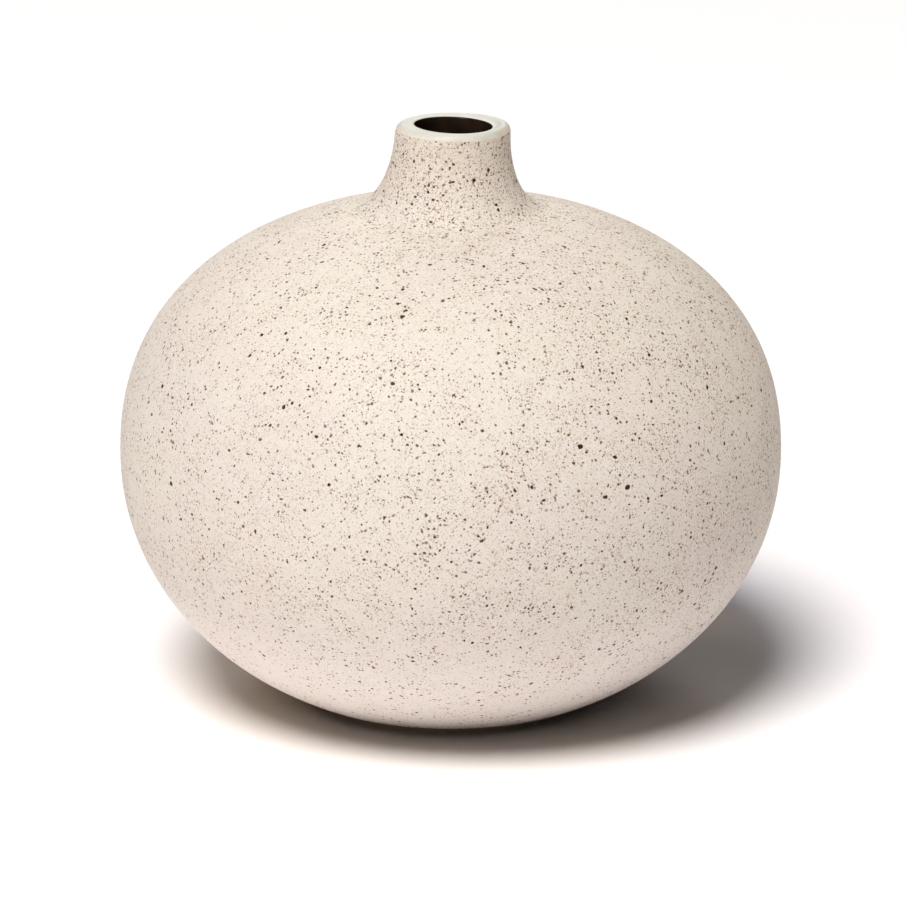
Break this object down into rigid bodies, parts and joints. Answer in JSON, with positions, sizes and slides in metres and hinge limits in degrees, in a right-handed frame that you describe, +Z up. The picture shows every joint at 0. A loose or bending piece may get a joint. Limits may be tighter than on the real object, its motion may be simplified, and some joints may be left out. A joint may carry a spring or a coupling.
{
  "type": "bud vase",
  "caption": "Squat round stoneware bud vase with a short flared neck and small mouth, in a matt cream glaze full of iron specks, with a plain pale lip and a dark glossy inside.",
  "frame": {"origin": "centre of the foot's resting face, on the surface the vase stands on", "axes": "+Z up along the axis the body was turned on; -Y towards the viewer; the neck leans 3 degrees towards +X"},
  "size_m": [0.16, 0.16, 0.141],
  "materials": {
    "bare_clay": "bare fired buff stoneware, dry and slightly gritty, with iron specks",
    "speckled_matt_glaze": "matt cream, dense with grey-brown, rust and near-black iron specks from 0.3 to 1.2 mm",
    "dark_liner_glaze": "very dark brown, glossy",
    "pale_lip_glaze": "plain greenish white, satin, without specks"
  },
  "bodies": {
    "root": {"lower_bowl": "bare_clay", "upper_dome": "bare_clay", "neck_collar": "bare_clay", "outer_glaze": "speckled_matt_glaze", "inner_glaze": "dark_liner_glaze", "lip_glaze": "pale_lip_glaze"}
  },
  "joints": []
}
